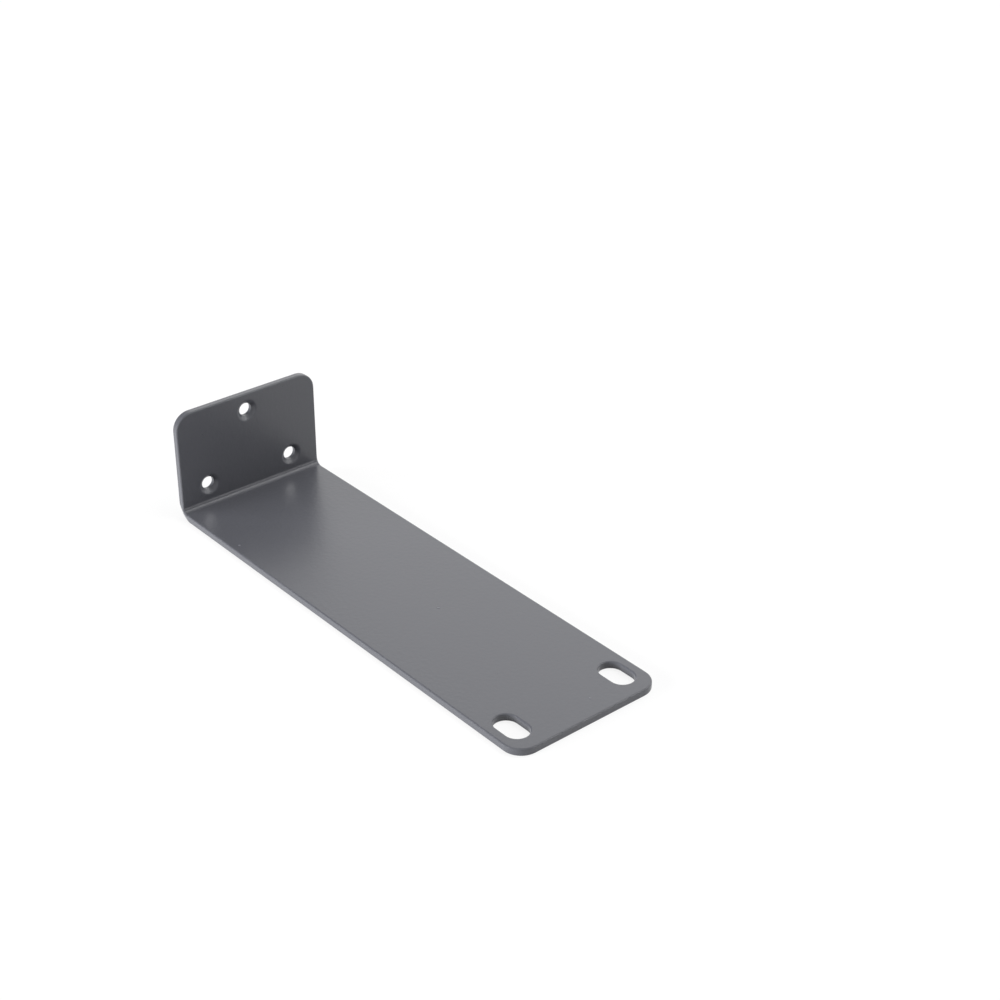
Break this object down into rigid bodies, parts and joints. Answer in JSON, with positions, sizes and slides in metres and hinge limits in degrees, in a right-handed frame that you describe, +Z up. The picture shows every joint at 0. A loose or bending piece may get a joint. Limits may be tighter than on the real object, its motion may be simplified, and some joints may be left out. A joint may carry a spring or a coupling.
{
  "type": "rack mount ear bracket",
  "caption": "Long folded steel rack ear: flat plate with slots at its free end and a short flange with countersunk screw holes.",
  "frame": {"origin": "under the middle of the ear, on the flat front face that it lies on", "axes": "+X along the plate from the flange to the free end, +Y across the ear, +Z up along the flange, which is rearwards when the ear is in a rack"},
  "size_m": [0.137, 0.0432, 0.0302],
  "materials": {
    "powder_coat": "satin"
  },
  "bodies": {
    "root": {"ear_bracket": "powder_coat"}
  },
  "joints": []
}
